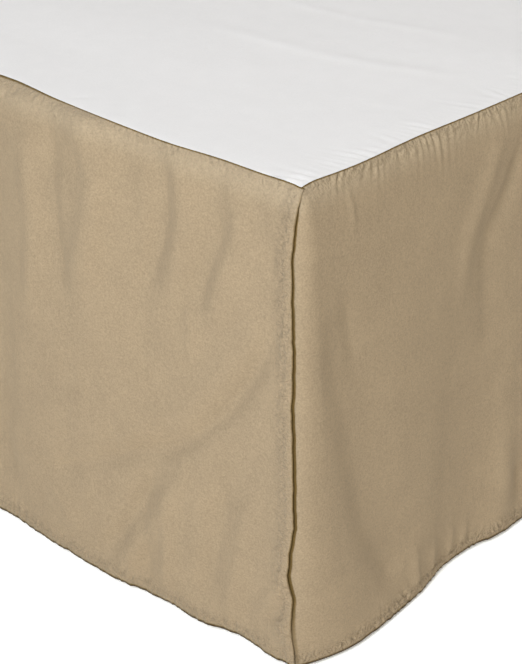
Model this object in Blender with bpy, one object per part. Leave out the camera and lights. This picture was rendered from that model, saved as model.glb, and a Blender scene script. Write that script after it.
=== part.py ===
"""Bed skirt with split corners, lying on a plain box spring and a steel bed frame.

Metres, +Z up. The origin is on the floor, under the middle of the skirt. The foot of the bed
is at -Y and its right side at +X. The head end is open.
"""

import math

import bmesh
import bpy
from mathutils import Vector

MM = 0.001

# The bed
BED_WIDTH = 1.524
BED_LENGTH = 2.032
TOP_Z = 0.385
HEM_Z = 0.004

# The cloth, and its seam line just inside the bed's edges
CLOTH = 1.5 * MM
SEAM_INSET = 6 * MM
SEAM_X = BED_WIDTH / 2 - SEAM_INSET
SEAM_Y = BED_LENGTH / 2 - SEAM_INSET
SKIRT_END_Y = 1.024
TURN_RADIUS = 8 * MM
SEAM_GAP = 0.7 * MM
TOP_MID_Z = TOP_Z - CLOTH / 2
FACE_TOP_Z = TOP_MID_Z - TURN_RADIUS
FACE_DROP = FACE_TOP_Z - HEM_Z
HEM_BLEND_POWER = 1.4
BOW = 3 * MM

# The side panel goes round the corner and on behind the foot panel
LAP_COLUMNS = 5
LAP_BEHIND = CLOTH + 0.5 * MM
LAP_BEHIND_HEM = CLOTH + 2 * MM
LAP_BEHIND_POWER = 0.4
TIP_RADIUS = 4 * MM
FLARE_ACROSS = 5 * MM
FLARE_ALONG = 60 * MM
FLARE_START = 0.11
FLARE_FULL = 0.38
FLARE_FADE = 0.35

# The foot panel's free edges start a little inside the corner
FOOT_EDGE_FADE = 60 * MM
FOOT_WIDTH = 2 * SEAM_X

# Grid of each cloth
TURN_STEPS = (0.0, 0.34, 0.67, 1.0)
FACE_ROWS = 8
FINE_STEP = 14 * MM
FINE_LENGTH = 0.31
PLAIN_STEP = 52 * MM
CORNER_STEPS = 5
DECK_BORDER = 16 * MM

# Each square of a grid is split along its shorter diagonal
FALLING_HALVES = ((0, 1, 2), (0, 2, 3))
RISING_HALVES = ((0, 1, 3), (1, 2, 3))

# Seam wander out of the straight line, in mm: distance from the corner, out
FOOT_SEAM = (
    (0, 0.0), (14, 0.5), (36, 1.5), (68, 1.2), (114, 3.9), (153, 3.2), (193, 1.3),
    (241, -2.7), (290, -9.1), (340, -7.0), (450, 0.0), (760, 0.6), (1100, -0.6), (1512, 0.0),
)
SIDE_SEAM = (
    (0, 0.0), (12, -0.4), (37, 1.4), (58, 2.2), (72, 2.0), (107, 0.3), (126, -0.3),
    (154, 0.1), (189, 0.8), (249, 0.8), (420, 0.0), (2040, 0.0),
)

# Hem line out of the seam line, in mm: distance from the corner, out
FOOT_HEM = (
    (0, 2.0), (18, 3.5), (42, 0.0), (82, 7.5), (112, 5.5), (160, 10.5), (234, 9.5),
    (311, 4.5), (370, 8.0), (450, 10.0), (540, 6.5), (640, 9.5), (740, 6.0), (840, 9.0),
    (940, 7.0), (1040, 10.0), (1120, 6.5), (1210, 9.5), (1300, 7.0), (1380, 10.0),
    (1440, 6.0), (1480, 3.0), (1512, 2.0),
)
SIDE_HEM = (
    (58, 25.0), (95, 24.0), (148, 18.0), (171, 12.0), (229, 12.0), (245, 16.0), (281, 16.0),
    (350, 11.0), (440, 14.5), (540, 10.0), (650, 13.5), (760, 10.5), (880, 14.0),
    (1000, 10.0), (1110, 13.5), (1230, 11.0), (1350, 14.5), (1470, 10.5), (1590, 13.5),
    (1710, 11.0), (1830, 13.5), (1940, 11.0), (2040, 12.0),
)

# Free edge of the foot panel beyond the seam corner, in mm: depth below the seam, beyond
FOOT_EDGE = ((0, -3.0), (12, 3.0), (100, 1.0), (250, 7.0), (300, 3.0), (380, 7.0))

# Main folds, in mm: along and down at the upper end, along and down at the lower end,
# height (a trough is below zero), half width
FOOT_FOLDS = (
    (228, 15, 216, 128, -3.5, 15),
    (275, 80, 270, 300, 3.0, 16),
    (112, 12, 135, 160, -2.5, 14),
    (61, 30, 76, 137, -3.0, 14),
    (38, 132, 77, 200, -5.0, 15),
    (77, 200, 154, 258, -4.5, 16),
    (154, 258, 240, 302, -4.0, 16),
    (133, 262, 207, 358, -3.5, 14),
    (123, 285, 134, 360, -4.0, 13),
    (44, 245, 62, 350, -4.5, 15),
    (107, 290, 107, 345, 2.5, 14),
    (620, 60, 650, 330, -3.0, 24),
    (930, 90, 900, 340, -3.0, 26),
    (1270, 40, 1300, 320, -3.0, 22),
)
SIDE_FOLDS = (
    (30, 120, 58, 225, -4.5, 16),
    (58, 225, 112, 350, -6.0, 22),
    (229, 12, 208, 100, -5.0, 15),
    (208, 100, 212, 180, -3.5, 17),
    (273, 250, 270, 350, -3.5, 18),
    (520, 60, 560, 330, -3.0, 26),
    (900, 90, 870, 340, -3.5, 28),
    (1290, 50, 1320, 330, -3.0, 26),
    (1680, 80, 1650, 340, -3.0, 28),
)

# Box spring under the deck
BOX_HALF_X = 0.7525
BOX_HALF_Y = 1.0065
BOX_LOW_Z = 0.1783
BOX_HIGH_Z = TOP_Z - CLOTH - 0.3 * MM
BOX_CORNER_RADIUS = 25 * MM
BOX_TOP_RADIUS = 15 * MM
BOX_BOTTOM_RADIUS = 12 * MM
BOX_CORNER_STEPS = 4
BOX_EDGE_STEPS = 3

# Steel frame on legs
FIT_GAP = 0.3 * MM
RAIL_X = 0.68
RAIL_WIDTH = 0.040
RAIL_HEIGHT = 0.030
RAIL_LENGTH = 1.94
RAIL_LOW_Z = 0.148
RAIL_EDGE = 2 * MM
CROSS_Y = 0.9
LEG_RADIUS = 0.019
LEG_TOP_Z = RAIL_LOW_Z - FIT_GAP
GLIDE_RADIUS = 0.025
GLIDE_HEIGHT = 0.012
LEG_LOW_Z = GLIDE_HEIGHT + FIT_GAP
ROUND_STEPS = 18


# Small helpers

def clear_scene():
    for item in list(bpy.data.objects):
        bpy.data.objects.remove(item, do_unlink=True)


def lerp(a, b, t):
    return a + (b - a) * t


def smooth(t):
    t = min(max(t, 0.0), 1.0)
    return t * t * (3 - 2 * t)


def from_table(table, at):
    """Value of a table in mm at a distance in metres, eased between its rows."""
    place = at / MM
    if place <= table[0][0]:
        return table[0][1] * MM
    for low, high in zip(table, table[1:]):
        if place <= high[0]:
            share = smooth((place - low[0]) / (high[0] - low[0]))
            return lerp(low[1], high[1], share) * MM
    return table[-1][1] * MM


def fold_height(folds, along, down):
    """Height of the folds at one place of a panel: its highest ridge and deepest trough."""
    ridge = 0.0
    trough = 0.0
    for a0, d0, a1, d1, height, width in folds:
        span_a = a1 - a0
        span_d = d1 - d0
        length = math.hypot(span_a, span_d)
        off_a = along / MM - a0
        off_d = down / MM - d0
        run = (off_a * span_a + off_d * span_d) / length
        side = (off_a * span_d - off_d * span_a) / length
        past = max(-run, run - length, 0.0)
        here = height * math.exp(-(side / width) ** 2 - (past / width) ** 2)
        ridge = max(ridge, here)
        trough = min(trough, here)
    return (ridge + trough) * MM


def steps(length, fine_length, fine, plain, fine_far=False):
    """Distances along a panel: short steps near the corner, longer ones on the plain run."""
    count = round(fine_length / fine)
    near = [fine_length * i / count for i in range(count + 1)]
    last = length - fine_length if fine_far else length
    middle = max(1, round((last - fine_length) / plain))
    run = near + [lerp(fine_length, last, i / middle) for i in range(1, middle + 1)]
    if fine_far:
        run += [length - value for value in reversed(near[:-1])]
    return run


# Materials

def material(name, colour, roughness, metallic=0.0):
    made = bpy.data.materials.new(name)
    made.use_nodes = True
    shader = made.node_tree.nodes["Principled BSDF"]
    shader.inputs["Base Color"].default_value = (*colour, 1.0)
    shader.inputs["Roughness"].default_value = roughness
    shader.inputs["Metallic"].default_value = metallic
    return made


def finish(name, mesh_data, surface):
    mesh = bpy.data.meshes.new(name)
    bmesh.ops.recalc_face_normals(mesh_data, faces=mesh_data.faces)
    mesh_data.to_mesh(mesh)
    mesh_data.free()
    thing = bpy.data.objects.new(name, mesh)
    bpy.context.scene.collection.objects.link(thing)
    mesh.materials.append(surface)
    mesh.shade_smooth()
    mesh.set_sharp_from_angle(angle=math.radians(35))
    return thing


# Cloth

def turn(seam_out, share, behind=0.0):
    """Out and down along the soft edge, from the seam to the top of the face."""
    start = math.asin(seam_out / TURN_RADIUS) if seam_out > 0 else seam_out / TURN_RADIUS
    angle = lerp(start, math.pi / 2, share)
    if angle < 0:
        return angle * TURN_RADIUS, behind
    radius = TURN_RADIUS - behind
    return radius * math.sin(angle), TURN_RADIUS - radius * math.cos(angle)


def panel_rows():
    """Each row of a drop panel: its share of the turn, and its share of the face."""
    rows = [(share, 0.0) for share in TURN_STEPS]
    return rows + [(1.0, (i + 1) / FACE_ROWS) for i in range(FACE_ROWS)]


def drape(seam_table, hem_table, folds, along, row):
    """Out and down of a drop panel at one place."""
    turn_share, face_share = row
    out, down = turn(from_table(seam_table, along), turn_share)
    if face_share > 0:
        out = lerp(TURN_RADIUS, from_table(hem_table, along), face_share ** HEM_BLEND_POWER)
        down = TURN_RADIUS + FACE_DROP * face_share
        out += BOW * math.sin(math.pi * face_share) + fold_height(folds, along, down)
    return out, down


def sheet(name, grid, surface):
    """Thin solid on both sides of a grid of points, closed all round."""
    rows = len(grid)
    columns = len(grid[0])
    work = bmesh.new()
    layers = ([], [])
    for r in range(rows):
        for c in range(columns):
            across = grid[r][min(c + 1, columns - 1)] - grid[r][max(c - 1, 0)]
            downward = grid[min(r + 1, rows - 1)][c] - grid[max(r - 1, 0)][c]
            normal = across.cross(downward).normalized()
            for layer, way in zip(layers, (0.5, -0.5)):
                layer.append(work.verts.new(grid[r][c] + normal * CLOTH * way))
    for r in range(rows - 1):
        for c in range(columns - 1):
            i = r * columns + c
            falling = (grid[r][c] - grid[r + 1][c + 1]).length
            rising = (grid[r][c + 1] - grid[r + 1][c]).length
            halves = FALLING_HALVES if falling < rising else RISING_HALVES
            corners = (i, i + 1, i + columns + 1, i + columns)
            for half in halves:
                for layer in layers:
                    work.faces.new([layer[corners[k]] for k in half])
    rim = [c for c in range(columns)]
    rim += [r * columns + columns - 1 for r in range(1, rows)]
    rim += [(rows - 1) * columns + c for c in range(columns - 2, -1, -1)]
    rim += [r * columns for r in range(rows - 2, 0, -1)]
    for a, b in zip(rim, rim[1:] + rim[:1]):
        work.faces.new((layers[0][a], layers[0][b], layers[1][b], layers[1][a]))
    return finish(name, work, surface)


def point(x, y, down):
    return Vector((x, y, TOP_MID_Z - down))


def foot_places():
    return steps(FOOT_WIDTH, FINE_LENGTH, FINE_STEP, PLAIN_STEP, fine_far=True)


def foot_drape(along, row):
    """Across, out and down of the foot panel, its free edges moved off the corner lines."""
    out, down = drape(FOOT_SEAM, FOOT_HEM, FOOT_FOLDS, along, row)
    beyond = from_table(FOOT_EDGE, down)
    near = max(0.0, 1 - along / FOOT_EDGE_FADE)
    far = max(0.0, 1 - (FOOT_WIDTH - along) / FOOT_EDGE_FADE)
    return SEAM_X - along + beyond * (near - far), out, down


def foot_panel(surface):
    grid = []
    for row in panel_rows():
        line = []
        for along in foot_places():
            across, out, down = foot_drape(along, row)
            line.append(point(across, -SEAM_Y - out, down))
        grid.append(line)
    return sheet("panel_foot", grid, surface)


def lap_drape(side, along, row):
    """Across, out and down of a lap, which lies close behind the foot panel."""
    from_right = along if side > 0 else FOOT_WIDTH - along
    across, out, down = foot_drape(from_right, row)
    turn_share, face_share = row
    if face_share > 0:
        behind = lerp(LAP_BEHIND, LAP_BEHIND_HEM, face_share ** LAP_BEHIND_POWER)
        return side * across, out - behind, down
    out, down = turn(from_table(FOOT_SEAM, from_right), turn_share, LAP_BEHIND)
    return side * across, out, down


def corner_start(row):
    """How far from the corner the side panel starts its bend, across and along."""
    turn_share, face_share = row
    tip = TIP_RADIUS * (1 - turn_share)
    low = smooth((face_share * FACE_DROP - FLARE_START) / (FLARE_FULL - FLARE_START))
    return tip + FLARE_ACROSS * low, tip + FLARE_ALONG * low


def side_places(start):
    """Distances of a side panel's columns from the corner, the first one where its bend ends."""
    length = SKIRT_END_Y + SEAM_Y
    run = steps(length, FINE_LENGTH, FINE_STEP, PLAIN_STEP)
    return [place + start * max(0.0, 1 - place / FLARE_FADE) for place in run]


def side_panel(name, side, surface):
    """A side panel with its bend round the corner and its lap behind the foot panel."""
    grid = []
    for row in panel_rows():
        across, start = corner_start(row)
        face_out, face_down = drape(SIDE_SEAM, SIDE_HEM, SIDE_FOLDS, start, row)
        line = []
        for along in reversed(foot_places()[1:LAP_COLUMNS + 1]):
            x, out, down = lap_drape(side, along, row)
            line.append(point(side * x, -SEAM_Y - out, down))
        lap_out, lap_down = lap_drape(side, across, row)[1:]
        for i in range(CORNER_STEPS):
            share = i / CORNER_STEPS
            angle = share * math.pi / 2
            x = SEAM_X - across + (across + face_out) * math.sin(angle)
            y = -SEAM_Y + start - (start + lap_out) * math.cos(angle)
            line.append(point(side * x, y, lerp(lap_down, face_down, smooth(share))))
        for along in side_places(start):
            out, down = drape(SIDE_SEAM, SIDE_HEM, SIDE_FOLDS, along, row)
            line.append(point(side * (SEAM_X + out), -SEAM_Y + along, down))
        grid.append(line)
    return sheet(name, grid, surface)


def deck_rim():
    """Edge of the deck, just inside the seams, from the head's left end to its right end."""
    right = []
    for along in reversed(side_places(TIP_RADIUS)):
        out = from_table(SIDE_SEAM, along) - SEAM_GAP
        right.append((SEAM_X + out, -SEAM_Y + along, out))
    tip_out = right[-1][2]
    for i in (1, 2):
        angle = i / 3 * math.pi / 2
        x = SEAM_X - TIP_RADIUS + (TIP_RADIUS + tip_out) * math.cos(angle)
        y = -SEAM_Y + TIP_RADIUS - (TIP_RADIUS - SEAM_GAP) * math.sin(angle)
        right.append((x, y, 0.0))
    foot = []
    for along in [TIP_RADIUS] + foot_places()[1:-1] + [FOOT_WIDTH - TIP_RADIUS]:
        out = from_table(FOOT_SEAM, along) - SEAM_GAP
        foot.append((SEAM_X - along, -SEAM_Y - out, out))
    left = [(-x, y, out) for x, y, out in reversed(right)]
    return right + foot + left


def deck(surface):
    """The platform: a flat sheet whose edge follows the seams down over the soft edge."""
    work = bmesh.new()
    inner_x = SEAM_X - DECK_BORDER
    inner_low = -SEAM_Y + DECK_BORDER
    inner_high = SKIRT_END_Y - DECK_BORDER
    loops = []
    for height in (TOP_Z, TOP_Z - CLOTH):
        rim = []
        inner = []
        for x, y, out in deck_rim():
            down = turn(out, 0.0)[1]
            rim.append(work.verts.new((x, y, height - down)))
            inside = (min(max(x, -inner_x), inner_x), min(max(y, inner_low), inner_high))
            inner.append(work.verts.new((*inside, height)))
        count = len(rim)
        for i in range(count):
            j = (i + 1) % count
            work.faces.new((rim[i], rim[j], inner[j], inner[i]))
        work.faces.new(inner)
        loops.append(rim)
    count = len(loops[0])
    for i in range(count):
        j = (i + 1) % count
        work.faces.new((loops[0][i], loops[0][j], loops[1][j], loops[1][i]))
    bmesh.ops.remove_doubles(work, verts=work.verts, dist=0.01 * MM)
    return finish("deck", work, surface)


# Box spring and frame

def rounded_ring(half_x, half_y, radius, inset, z):
    """Points round a rectangle with rounded corners, drawn in by an inset."""
    ring = []
    for quarter in range(4):
        centre_x = (half_x - radius) * (1 if quarter in (0, 3) else -1)
        centre_y = (half_y - radius) * (1 if quarter in (0, 1) else -1)
        for i in range(BOX_CORNER_STEPS + 1):
            angle = (quarter + i / BOX_CORNER_STEPS) * math.pi / 2
            reach = radius - inset
            x = centre_x + reach * math.cos(angle)
            y = centre_y + reach * math.sin(angle)
            ring.append((x, y, z))
    return ring


def box_spring(surface):
    rings = []
    for i in range(BOX_EDGE_STEPS + 1):
        angle = i / BOX_EDGE_STEPS * math.pi / 2
        inset = BOX_BOTTOM_RADIUS * (1 - math.sin(angle))
        rings.append((inset, BOX_LOW_Z + BOX_BOTTOM_RADIUS * (1 - math.cos(angle))))
    for i in range(BOX_EDGE_STEPS + 1):
        angle = i / BOX_EDGE_STEPS * math.pi / 2
        inset = BOX_TOP_RADIUS * (1 - math.cos(angle))
        rings.append((inset, BOX_HIGH_Z - BOX_TOP_RADIUS * (1 - math.sin(angle))))
    work = bmesh.new()
    loops = []
    for inset, z in rings:
        ring = rounded_ring(BOX_HALF_X, BOX_HALF_Y, BOX_CORNER_RADIUS, inset, z)
        loops.append([work.verts.new(place) for place in ring])
    for low, high in zip(loops, loops[1:]):
        for i in range(len(low)):
            j = (i + 1) % len(low)
            work.faces.new((low[i], low[j], high[j], high[i]))
    work.faces.new(loops[0])
    work.faces.new(loops[-1])
    return finish("box_spring", work, surface)


def bar(name, size, centre, surface):
    work = bmesh.new()
    bmesh.ops.create_cube(work, size=1.0)
    bmesh.ops.scale(work, vec=size, verts=work.verts)
    bmesh.ops.bevel(work, geom=work.edges[:], offset=RAIL_EDGE, segments=1, affect="EDGES")
    thing = finish(name, work, surface)
    thing.location = centre
    return thing


def round_post(name, radius, low, high, place, surface):
    work = bmesh.new()
    bmesh.ops.create_cone(work, cap_ends=True, segments=ROUND_STEPS, radius1=radius,
                          radius2=radius, depth=high - low)
    thing = finish(name, work, surface)
    thing.location = (*place, (low + high) / 2)
    return thing


def bed_frame(steel, plastic):
    rail_z = RAIL_LOW_Z + RAIL_HEIGHT / 2
    rail_size = (RAIL_WIDTH, RAIL_LENGTH, RAIL_HEIGHT)
    bar("rail_left", rail_size, (-RAIL_X, 0, rail_z), steel)
    bar("rail_right", rail_size, (RAIL_X, 0, rail_z), steel)
    cross_size = (2 * (RAIL_X - RAIL_WIDTH / 2 - FIT_GAP), RAIL_WIDTH, RAIL_HEIGHT)
    for name, y in (("cross_foot", -CROSS_Y), ("cross_middle", 0), ("cross_head", CROSS_Y)):
        bar(name, cross_size, (0, y, rail_z), steel)
    posts = (
        ("foot_left", -RAIL_X, -CROSS_Y), ("foot_right", RAIL_X, -CROSS_Y),
        ("side_left", -RAIL_X, 0), ("middle", 0, 0), ("side_right", RAIL_X, 0),
        ("head_left", -RAIL_X, CROSS_Y), ("head_right", RAIL_X, CROSS_Y),
    )
    for name, x, y in posts:
        round_post("leg_" + name, LEG_RADIUS, LEG_LOW_Z, LEG_TOP_Z, (x, y), steel)
        round_post("glide_" + name, GLIDE_RADIUS, 0, GLIDE_HEIGHT, (x, y), plastic)


clear_scene()
khaki = material("skirt_cloth", (0.46, 0.37, 0.25), 0.9)
white = material("deck_cloth", (0.80, 0.79, 0.77), 0.9)
ticking = material("ticking", (0.70, 0.68, 0.64), 0.85)
steel = material("frame_steel", (0.05, 0.05, 0.05), 0.45)
plastic = material("glide_plastic", (0.03, 0.03, 0.03), 0.5)
deck(white)
foot_panel(khaki)
side_panel("panel_right", 1, khaki)
side_panel("panel_left", -1, khaki)
box_spring(ticking)
bed_frame(steel, plastic)
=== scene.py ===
"""Looks of the bed skirt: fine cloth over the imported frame, its box spring, lights and camera."""

import math

import bpy
import numpy as np
from mathutils import Matrix, Vector


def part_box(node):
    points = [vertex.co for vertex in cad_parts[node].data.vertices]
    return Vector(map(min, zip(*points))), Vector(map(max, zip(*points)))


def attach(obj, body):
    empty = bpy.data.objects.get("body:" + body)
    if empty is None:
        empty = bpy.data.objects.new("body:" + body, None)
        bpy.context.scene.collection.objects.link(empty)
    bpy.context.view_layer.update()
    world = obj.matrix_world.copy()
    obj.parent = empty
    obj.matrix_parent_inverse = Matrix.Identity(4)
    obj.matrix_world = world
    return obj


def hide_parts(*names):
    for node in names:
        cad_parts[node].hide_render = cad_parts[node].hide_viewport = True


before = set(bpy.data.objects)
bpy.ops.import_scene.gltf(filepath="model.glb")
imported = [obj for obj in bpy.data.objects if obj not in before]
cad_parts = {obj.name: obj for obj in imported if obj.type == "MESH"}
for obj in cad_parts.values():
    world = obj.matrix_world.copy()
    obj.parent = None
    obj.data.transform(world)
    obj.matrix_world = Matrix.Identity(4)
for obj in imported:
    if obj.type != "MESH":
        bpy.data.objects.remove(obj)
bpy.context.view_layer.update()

MM = 0.001

# The bed and the skirt, as in the solids
TOP_Z = 0.385
HEM_Z = 0.004
SEAM_X = 0.756
SEAM_Y = 1.010
SKIRT_END_Y = 1.024
FOOT_WIDTH = 2 * SEAM_X
SIDE_LENGTH = SEAM_Y + SKIRT_END_Y
SOLID_CLOTH = 1.5 * MM
TOP_MID_Z = TOP_Z - SOLID_CLOTH / 2
TURN_RADIUS = 8 * MM
TURN_RUN = 12.6 * MM
TURN_RUN_POWER = 1.75
TURN_KINK = 0.6
FACE_DROP = TOP_MID_Z - TURN_RADIUS - HEM_Z
HEM_BLEND_POWER = 1.4
BOW = 3 * MM
CLOTH = 1.1 * MM
EDGE_LIMIT = 0.99

# Bend of a side panel round the corner, and its lap behind the foot panel
LAP_LENGTH = 70 * MM
LAP_COLUMNS = 9
BEND_ROUND = 30 * MM
BEND_COLUMNS = 26
LAP_BEHIND = 1.8 * MM
LAP_BEHIND_HEM = 2.8 * MM
LAP_BEHIND_POWER = 0.4
FLARE_FADE = 0.35
FOOT_EDGE_FADE = 60 * MM
CORNER_DIP = 1.0 * MM
CORNER_DIP_REACH = 8 * MM

# Size each panel is cut to: the foot panel's free edges stand past the corners
FOOT_CUT = FOOT_WIDTH + 8 * MM
SIDE_CUT = SIDE_LENGTH + LAP_LENGTH

# Seam, hems and stitches, with the painted shade at the hem, seam and slit and the painted light
# below the seam
SEAM_HALF_GAP = 0.25 * MM
SEAM_INSIDE = 1.8 * MM
SEAM_DIP = 0.5 * MM
SEAM_DIP_WIDTH = 1.1 * MM
HEM_BAND = 8.5 * MM
SIDE_BAND = 7 * MM
BAND_RISE = 0.35 * MM
BAND_START = 0.4 * MM
BAND_FALL = 0.8 * MM
ROLL_DROP = 0.5 * MM
ROLL_WIDTH = 0.7 * MM
STITCH_DIP = 0.5 * MM
STITCH_DIP_WIDTH = 1.0 * MM
# Painted shade along the hem's edge, the seam line and in the corner slit: widths, reach into the
# slit, fade at the slit's top and foot, sharpness and strengths
HEM_SHADE_WIDTH = 2.0 * MM
SEAM_SHADE_WIDTH = 1.3 * MM
SLIT_SHADE_WIDTH = 0.6 * MM
SLIT_SHADE_DEPTH = 0.5 * MM
SLIT_TOP = 25 * MM
SLIT_FOOT = 70 * MM
SLIT_FOOT_SHARE = 0.4
EDGE_SHARPNESS = 4
SEAM_PAINTED_SHADE = 0.75
SLIT_PAINTED_SHADE = 0.5
CRIMP_WIDTH = 6 * MM
CRIMP_PLACE = 0.8
SEAM_CRIMP = 0.8
SEAM_CRIMP_WIDTH = 2 * CRIMP_WIDTH
# Painted light below the seam: the band lit from above is painted lighter, in full to this depth,
# then fading out
PAINTED_HIGHLIGHT_FULL = 10 * MM
PAINTED_HIGHLIGHT_FADE = 17 * MM
HEM_JAG = 1.3 * MM
FOOT_EDGE_JAG = 0.5 * MM
HEM_JAG_CELL = 5 * MM
HEM_JAG_REACH = 8 * MM
STITCH_PITCH = 3.2 * MM
STITCH_LENGTH = 2.3 * MM
STITCH_RADIUS = 0.22 * MM
FIRST_STITCHED_ROW = 14

# Seam wander out of the straight line, in mm: distance from the corner, out
FOOT_SEAM = (
    (0, 0), (14, 0.5), (36, 1.5), (68, 1.2), (114, 3.9), (153, 3.2), (193, 1.3),
    (241, -2.7), (290, -9.1), (340, -7), (450, 0), (760, 0.6), (1100, -0.6), (1512, 0),
)
SIDE_SEAM = (
    (0, 0), (12, -0.4), (37, 1.4), (58, 2.2), (72, 2), (107, 0.3), (126, -0.3),
    (154, 0.1), (189, 0.8), (249, 0.8), (420, 0), (2040, 0),
)

# Hem line out of the seam line, in mm: distance from the corner, out
FOOT_HEM = (
    (0, 2), (18, 3.5), (42, 0), (82, 7.5), (112, 5.5), (160, 10.5), (234, 9.5),
    (311, 4.5), (370, 8), (450, 10), (540, 6.5), (640, 9.5), (740, 6), (840, 9),
    (940, 7), (1040, 10), (1120, 6.5), (1210, 9.5), (1300, 7), (1380, 10),
    (1440, 6), (1480, 3), (1512, 2),
)
SIDE_HEM = (
    (58, 25), (95, 24), (148, 18), (171, 12), (229, 12), (245, 16), (281, 16),
    (350, 11), (440, 14.5), (540, 10), (650, 13.5), (760, 10.5), (880, 14),
    (1000, 10), (1110, 13.5), (1230, 11), (1350, 14.5), (1470, 10.5), (1590, 13.5),
    (1710, 11), (1830, 13.5), (1940, 11), (2040, 12),
)

# Free edge of the foot panel beyond the seam corner, in mm: depth below the seam, beyond
FOOT_EDGE = (
    (0, 0), (7, 3), (14, 1.8), (30, 1.1), (51, 0.6), (64, 1.9), (83, 1), (100, 2.2),
    (120, 3.6), (150, 3.6), (171, 4.2), (190, 6.2), (230, 7.7), (255, 8.9), (278, 5.3),
    (304, 3.5), (328, 7), (355, 6.5), (368, 9), (381, 9.5),
)

# Bend of a side panel, in mm: depth below the seam, how far along the side the bend ends
BEND_REACH = (
    (0, 3), (30, 6), (80, 8), (130, 10), (200, 14), (260, 20), (320, 36),
    (381, 60),
)

# Start of the bend across the foot, past the corner where below zero, in mm: depth, start
BEND_START = ((0, 2.5), (10, 1), (60, 0), (381, -1))

# Creases in mm: height at the upper and lower end, half width, lean, points along and down
FOOT_CREASES = (
    (-8, -9, 24, 0, ((300, 14), (304, 96), (309, 201), (311, 293), (307, 348))),
    (8, 2, 48, 0, ((216, 36), (210, 140), (205, 270))),
    (3, 3.4, 10, 0, ((260, 43), (251, 81), (249, 121), (256, 165))),
    (-6.4, -5.6, 14, 0.2, ((241, 8), (227, 34), (227, 73), (222, 108), (219, 140))),
    (6.6, 5.4, 15, -0.2, ((213, 1), (187, 23), (180, 52), (187, 89), (199, 130))),
    (-3.6, -3, 9, 0.2, ((124, 10), (117, 29), (116, 53), (124, 86), (138, 125))),
    (4.2, 3.2, 12, -0.3, ((110, 4), (100, 25), (96, 48), (103, 81), (118, 128))),
    (-3.8, -3.4, 10, 0.2, ((71, 28), (64, 46), (72, 69), (81, 95), (85, 123))),
    (3.8, 3.4, 11, -0.3, ((53, 17), (44, 40), (52, 65), (63, 91), (68, 121))),
    (2.6, 2.6, 8, -0.2, ((88, 109), (88, 148))),
    (1.4, 1.4, 3, 0, ((24, 24), (15, 34), (6, 44))),
    (1.4, 1.4, 3, 0, ((30, 61), (20, 68), (10, 75))),
    (1.2, 1.2, 3, 0, ((24, 87), (15, 93), (7, 98))),
    (-5.2, -3.4, 8, 0, ((22, 113), (28, 137), (48, 172), (79, 213), (115, 239), (162, 262),
                          (203, 288), (240, 305))),
    (3.2, 1.2, 12, 0, ((44, 126), (55, 150), (74, 175), (105, 207), (140, 225))),
    (-4.6, -4.4, 9, 0, ((124, 261), (141, 296), (159, 326), (180, 362))),
    (4.2, 4, 9, 0, ((97, 251), (111, 284), (133, 318), (155, 358))),
    (-4.4, -4.8, 9, 0.2, ((137, 309), (138, 350), (140, 381))),
    (4.6, 4.8, 9, -0.2, ((112, 294), (116, 331), (118, 369))),
    (-4.6, -5, 10, 0.2, ((59, 254), (66, 304), (80, 360))),
    (4.6, 5.2, 10, -0.2, ((36, 243), (42, 293), (55, 357))),
    (2.6, 2.3, 6, 0, ((0, 299), (13, 320), (30, 346))),
    (-2.6, -2.3, 6, 0, ((-4, 306), (8, 328), (23, 350))),
    (2, 2, 6, 0, ((-4, 330), (8, 347), (17, 365))),
    (2.2, 2.2, 12, 0, ((243, 322), (227, 337), (207, 355))),
    (-3.5, -4.3, 20, 0.2, ((620, 60), (635, 190), (650, 330))),
    (-3.5, -4.3, 22, -0.2, ((930, 90), (905, 200), (900, 340))),
    (-3.5, -4.3, 18, 0.2, ((1270, 40), (1290, 170), (1300, 320))),
)
SIDE_CREASES = (
    (-3.8, -9, 33, 0.4, ((24, 89), (36, 154), (50, 216), (70, 285), (108, 352))),
    (-3.6, -3.4, 10, 0.2, ((251, 26), (244, 40), (236, 56), (223, 77), (208, 96))),
    (-3.4, -1.2, 12, 0.2, ((208, 96), (205, 126), (214, 175), (212, 195))),
    (2.5, 2.3, 10, 0, ((221, 17), (209, 42), (191, 76), (178, 100), (177, 140))),
    (2.5, 2.8, 6, 0, ((129, 333), (134, 373))),
    (2.3, 2.5, 5, 0, ((158, 344), (159, 371))),
    (2.1, 2.3, 5, 0, ((187, 347), (187, 372))),
    (1.8, 2.1, 5, 0, ((207, 349), (206, 371))),
    (-3.9, -3.9, 10, 0, ((271, 314), (277, 355))),
    (3, 3, 10, 0, ((247, 289), (255, 350))),
    (-1.6, -1.4, 8, 0, ((36, 84), (45, 117), (52, 151))),
    (1.1, 1.1, 3, 0, ((42, 16), (45, 39))),
    (-3, -3.4, 24, 0.2, ((520, 60), (545, 200), (560, 330))),
    (-3, -3.4, 26, -0.2, ((900, 90), (880, 210), (870, 340))),
    (-3, -3.4, 24, 0.2, ((1290, 50), (1305, 190), (1320, 330))),
    (-3, -3.4, 26, -0.2, ((1680, 80), (1660, 210), (1650, 340))),
)

# Line and ends of a crease, its reach in half widths, and where it reaches its full height
CREASE_ROUNDS = 3
CREASE_CUT = 0.25
CREASE_REACH = 4
CREASE_TAPER = 25 * MM
CREASE_TAPER_SHARE = 0.3
CREASE_END = 0.4
CREASE_LEAST = 0.1 * MM
CREASE_START = 12 * MM

# Faint creases of the platform, as the creases above, from its right and foot seams
DECK_CREASES = (
    (0.9, 0.7, 9, 0, ((60, 250), (150, 215), (270, 210))),
    (-0.7, -0.6, 8, 0, ((40, 160), (110, 120), (190, 100))),
    (0.7, 0.7, 8, 0, ((110, 330), (240, 300), (330, 320))),
    (-0.8, -0.6, 10, 0, ((230, 60), (330, 90), (420, 80))),
    (0.6, 0.6, 7, 0, ((20, 420), (90, 400), (150, 410))),
)

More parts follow.
